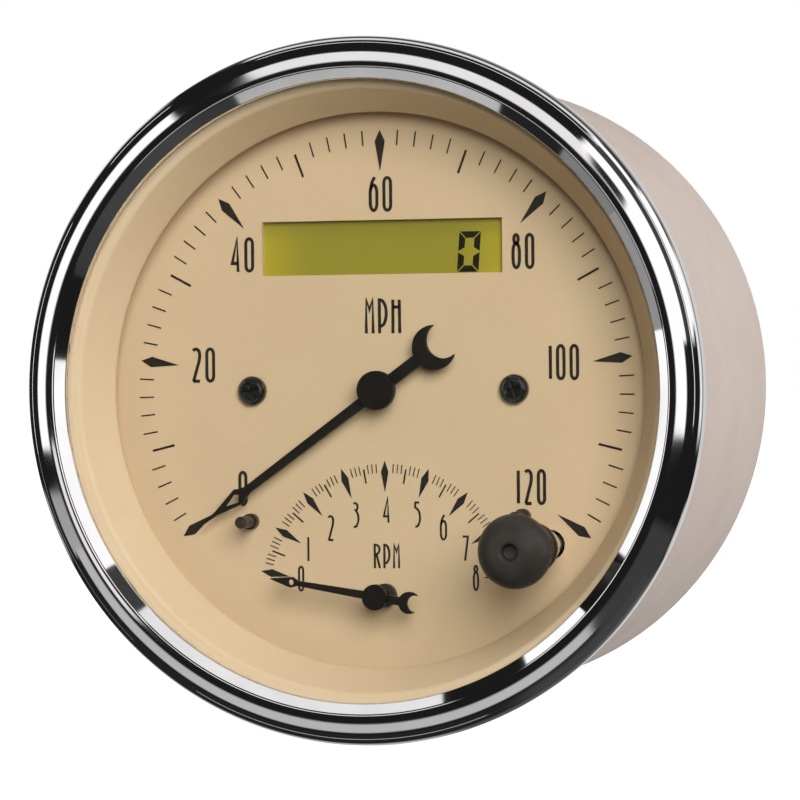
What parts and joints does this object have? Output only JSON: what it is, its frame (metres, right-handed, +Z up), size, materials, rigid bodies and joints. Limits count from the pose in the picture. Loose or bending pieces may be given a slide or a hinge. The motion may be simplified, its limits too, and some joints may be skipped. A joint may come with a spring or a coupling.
{
  "type": "speedometer",
  "caption": "Round panel speedometer with a chrome bezel, cream dial, main pointer, small tachometer, trip display, reset knob and rear studs.",
  "frame": {"origin": "on the case axis, in the plane where the bezel's rear edge meets the panel", "axes": "+Y along the case axis towards the back of the case, so the dial faces -Y; +Z up as the dial is read; +X to the right of someone reading the dial"},
  "size_m": [0.0916, 0.0778, 0.0916],
  "materials": {
    "case_paint": "satin pale grey-beige",
    "bezel_chrome": "polished",
    "lens_glass": "clear polished",
    "gasket_rubber": "matte",
    "black_plastic": "moulded satin",
    "cream_plastic": "moulded satin",
    "dial_paint": "matte screen-printed",
    "black_ink": "matte printed",
    "black_screw": "gloss black oxide",
    "brass_turned": "machined",
    "zinc_steel": "zinc plated",
    "stop_metal": "dull dark",
    "display_glass": "display, yellow-green",
    "white_plastic": "diffusing",
    "contact_rubber": "matte",
    "board_green": "solder mask",
    "chip_black": "moulded",
    "pillar_aluminium": "machined",
    "bobbin_plastic": "natural",
    "copper_wire": "enamelled copper",
    "can_steel": "drawn",
    "shaft_steel": "ground",
    "rotor_magnet": "sintered",
    "pointer_black": "satin black",
    "cap_black": "satin",
    "knob_rubber": "matte moulded",
    "stem_plastic": "moulded",
    "spring_steel": "drawn wire",
    "ribbon_grey": "flat cable",
    "bulb_glass": "clear"
  },
  "bodies": {
    "housing": {"case_can": "case_paint", "bezel": "bezel_chrome", "lens": "lens_glass", "lens_gasket": "gasket_rubber", "lens_bushing": "black_plastic", "flare_ring": "cream_plastic", "dial_plate": "dial_paint", "dial_marks": "black_ink", "dial_screws": "black_screw", "dial_spacers": "brass_turned", "dial_nuts": "zinc_steel", "stop_pins": "stop_metal", "shaft_collar": "black_plastic", "lcd_glass": "display_glass", "lcd_light_box": "white_plastic", "lcd_contact_strips": "contact_rubber", "main_board": "board_green", "board_components": "chip_black", "board_pillars": "pillar_aluminium", "board_screws": "zinc_steel", "case_screws": "zinc_steel", "speed_bobbin": "bobbin_plastic", "speed_coils": "copper_wire", "speed_bearing_cap": "brass_turned", "speed_can": "can_steel", "tach_bobbin": "bobbin_plastic", "tach_coils": "copper_wire", "tach_bearing_cap": "brass_turned", "tach_can": "can_steel", "trip_switch": "black_plastic", "switch_contact": "brass_turned", "switch_spring": "spring_steel", "terminal_board": "board_green", "terminal_block": "black_plastic", "terminal_blades": "brass_turned", "link_headers": "black_plastic", "link_ribbon": "ribbon_grey", "lamp_sockets": "black_plastic", "lamp_bulbs": "bulb_glass", "mounting_studs": "zinc_steel", "stud_washers": "zinc_steel", "stud_nuts": "zinc_steel"},
    "speed_needle": {"speed_shaft": "shaft_steel", "speed_rotor": "rotor_magnet", "speed_pointer": "pointer_black", "speed_pointer_cap": "cap_black"},
    "tach_needle": {"tach_shaft": "shaft_steel", "tach_rotor": "rotor_magnet", "tach_pointer": "pointer_black", "tach_pointer_cap": "cap_black"},
    "trip_button": {"trip_knob": "knob_rubber", "trip_stem": "stem_plastic", "stem_clip": "spring_steel"}
  },
  "joints": [
    {"name": "speed_turn", "type": "hinge", "parent": "housing", "child": "speed_needle", "pos_m": [0, 0.0052, 0], "axis": [0, 1, 0], "range_deg": [-3, 252]},
    {"name": "tach_turn", "type": "hinge", "parent": "housing", "child": "tach_needle", "pos_m": [0.0002, 0.0032, -0.027], "axis": [0, 1, 0], "range_deg": [-1, 162]},
    {"name": "trip_press", "type": "slide", "parent": "housing", "child": "trip_button", "axis": [0, 1, 0], "range_m": [0, 0.0015], "stiffness_N_per_m": 800, "springref_m": -0.001, "deforming": ["switch_spring"]}
  ]
}
